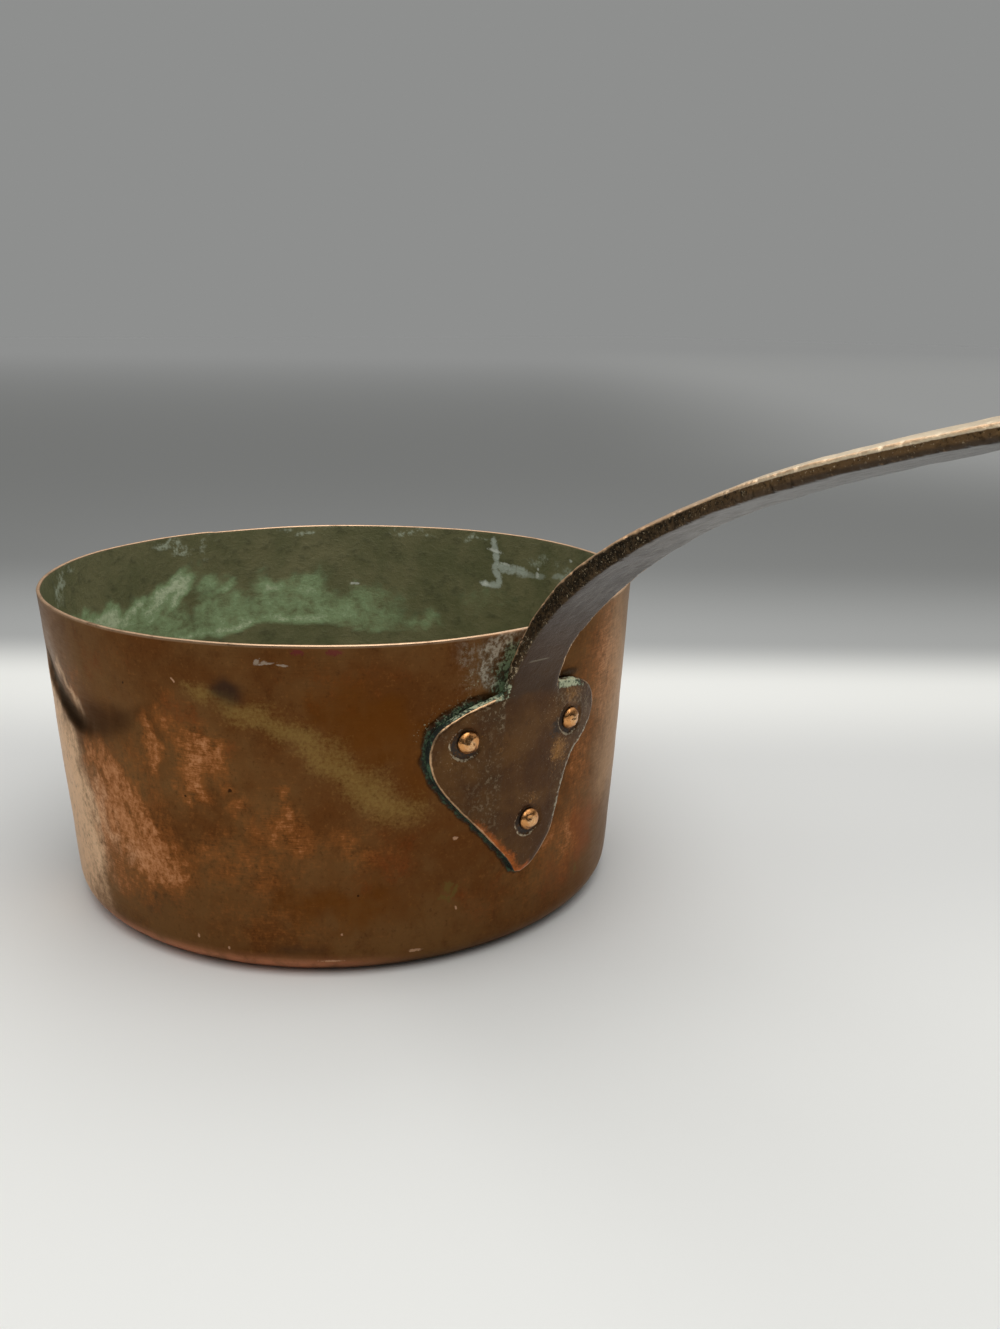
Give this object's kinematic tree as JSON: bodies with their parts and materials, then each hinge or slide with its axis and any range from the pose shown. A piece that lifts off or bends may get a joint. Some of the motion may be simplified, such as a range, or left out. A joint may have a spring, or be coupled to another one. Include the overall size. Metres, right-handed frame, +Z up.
{
  "type": "copper cooking pot",
  "caption": "Round copper cooking pot with a slightly flared thin wall, a rounded bottom corner and a riveted cast handle that curves up and outwards to a hanging hole.",
  "frame": {"origin": "on the pan's axis, in the plane of the flat base that rests on the table", "axes": "+Z up along the pan's axis, +X out along the handle, +Y to the right of the handle when it is seen from outside"},
  "size_m": [0.4098, 0.22, 0.1978],
  "materials": {
    "pan_copper": "old copper with a brown patina outside, worn bright in patches, and dark with green verdigris inside",
    "handle_metal": "dark brown cast metal, pitted on its sides, with green verdigris along the plate's edges",
    "rivet_copper": "hammered copper heads, worn bright on top and dark round the edge"
  },
  "bodies": {
    "root": {"pan_body": "pan_copper", "handle": "handle_metal", "rivet_left": "rivet_copper", "rivet_right": "rivet_copper", "rivet_bottom": "rivet_copper"}
  },
  "joints": []
}
